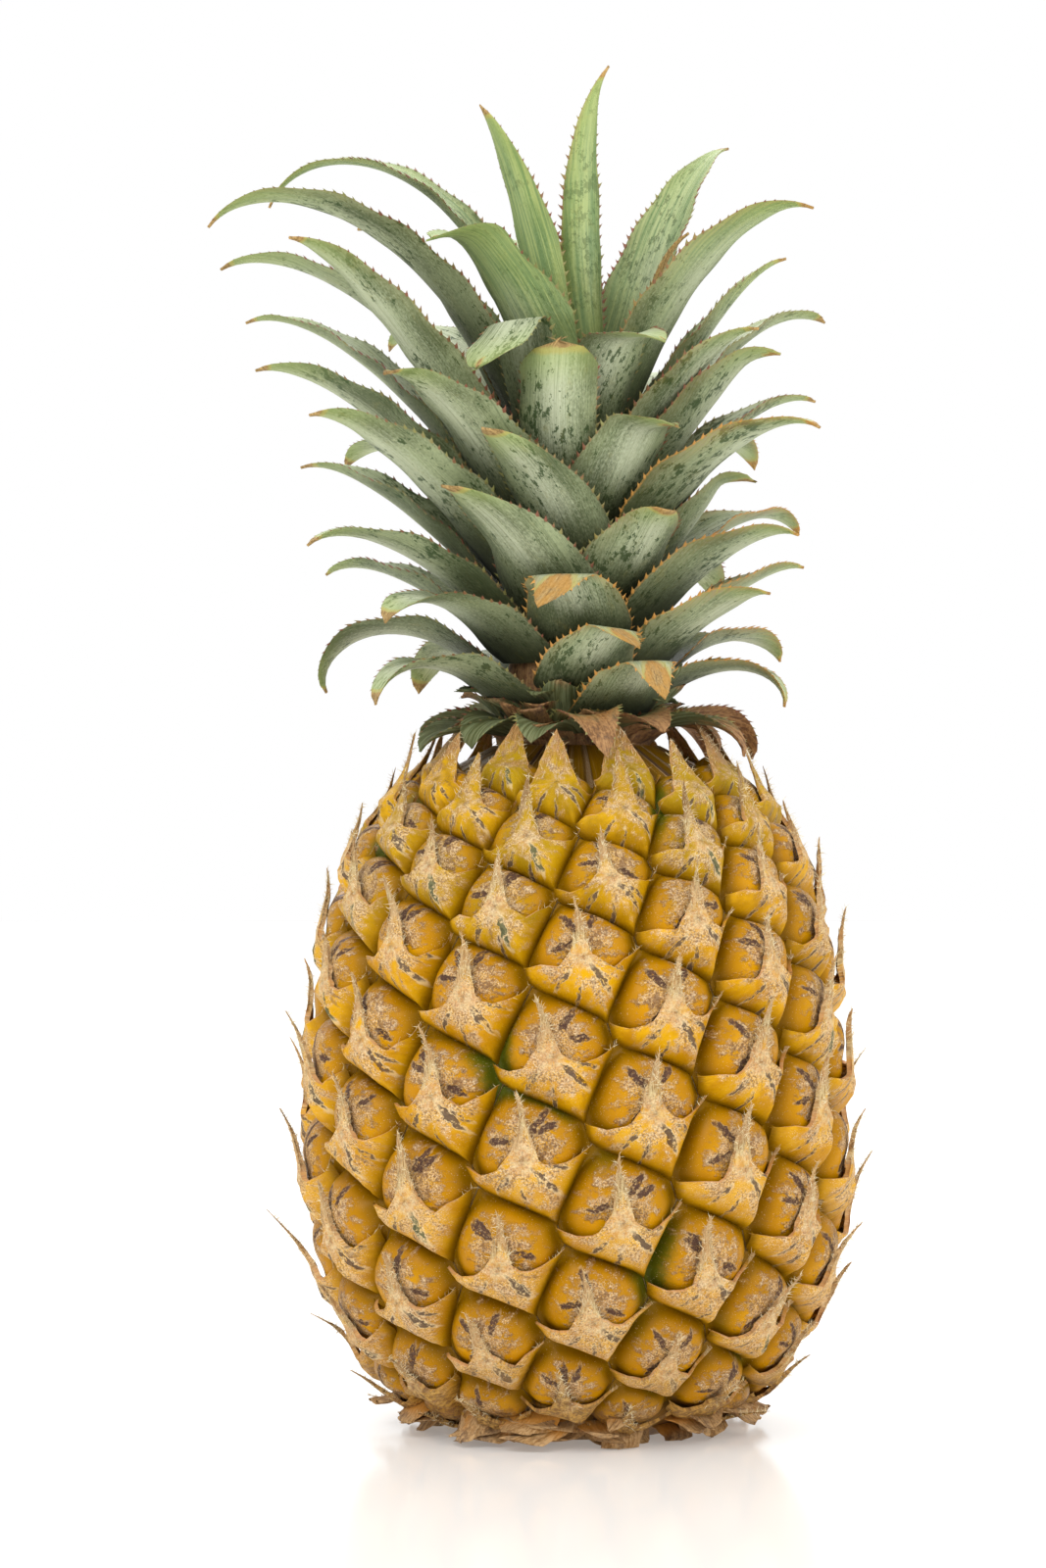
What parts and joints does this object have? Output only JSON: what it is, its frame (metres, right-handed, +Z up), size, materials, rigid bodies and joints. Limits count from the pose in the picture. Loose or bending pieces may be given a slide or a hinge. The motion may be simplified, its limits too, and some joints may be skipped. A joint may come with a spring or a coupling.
{
  "type": "pineapple",
  "caption": "Whole ripe pineapple standing on its cut stalk: barrel-shaped fruit covered in spiral eyes with pointed bracts, topped by a crown of spreading saw-edged leaves.",
  "frame": {"origin": "centre of the flat cut face of the stalk under the fruit", "axes": "+Z up along the core, from the cut stalk to the crown; -Y towards the front"},
  "size_m": [0.134, 0.127, 0.275],
  "materials": {
    "rind": "waxy golden-orange skin with grey-tan papery eye centres and dry straw-coloured bracts",
    "crown_stem": "dull, fibrous, pale green-brown, with withered brown leaves at its foot",
    "leaf": "matte grey bloom over green, with rust-coloured saw teeth"
  },
  "bodies": {
    "root": {"fruit": "rind", "crown_stem": "crown_stem", "crown_leaf_01": "leaf", "crown_leaf_02": "leaf", "crown_leaf_03": "leaf", "crown_leaf_04": "leaf", "crown_leaf_05": "leaf", "crown_leaf_06": "leaf", "crown_leaf_07": "leaf", "crown_leaf_08": "leaf", "crown_leaf_09": "leaf", "crown_leaf_10": "leaf", "crown_leaf_11": "leaf", "crown_leaf_12": "leaf", "crown_leaf_13": "leaf", "crown_leaf_14": "leaf", "crown_leaf_15": "leaf", "crown_leaf_16": "leaf", "crown_leaf_17": "leaf", "crown_leaf_18": "leaf", "crown_leaf_19": "leaf", "crown_leaf_20": "leaf", "crown_leaf_21": "leaf", "crown_leaf_22": "leaf", "crown_leaf_23": "leaf", "crown_leaf_24": "leaf", "crown_leaf_25": "leaf", "crown_leaf_26": "leaf", "crown_leaf_27": "leaf", "crown_leaf_28": "leaf", "crown_leaf_29": "leaf", "crown_leaf_30": "leaf", "crown_leaf_31": "leaf", "crown_leaf_32": "leaf", "crown_leaf_33": "leaf", "crown_leaf_34": "leaf", "crown_leaf_35": "leaf", "crown_leaf_36": "leaf", "crown_leaf_37": "leaf", "crown_leaf_38": "leaf", "crown_leaf_39": "leaf", "crown_leaf_40": "leaf", "crown_leaf_41": "leaf", "crown_leaf_42": "leaf", "crown_leaf_43": "leaf", "crown_leaf_44": "leaf", "crown_leaf_45": "leaf", "crown_leaf_46": "leaf", "crown_leaf_47": "leaf", "crown_leaf_48": "leaf", "crown_leaf_49": "leaf", "crown_leaf_50": "leaf", "crown_leaf_51": "leaf", "crown_leaf_52": "leaf", "crown_leaf_53": "leaf", "crown_leaf_54": "leaf", "crown_leaf_55": "leaf", "crown_leaf_56": "leaf", "crown_leaf_57": "leaf", "crown_leaf_58": "leaf"}
  },
  "joints": []
}
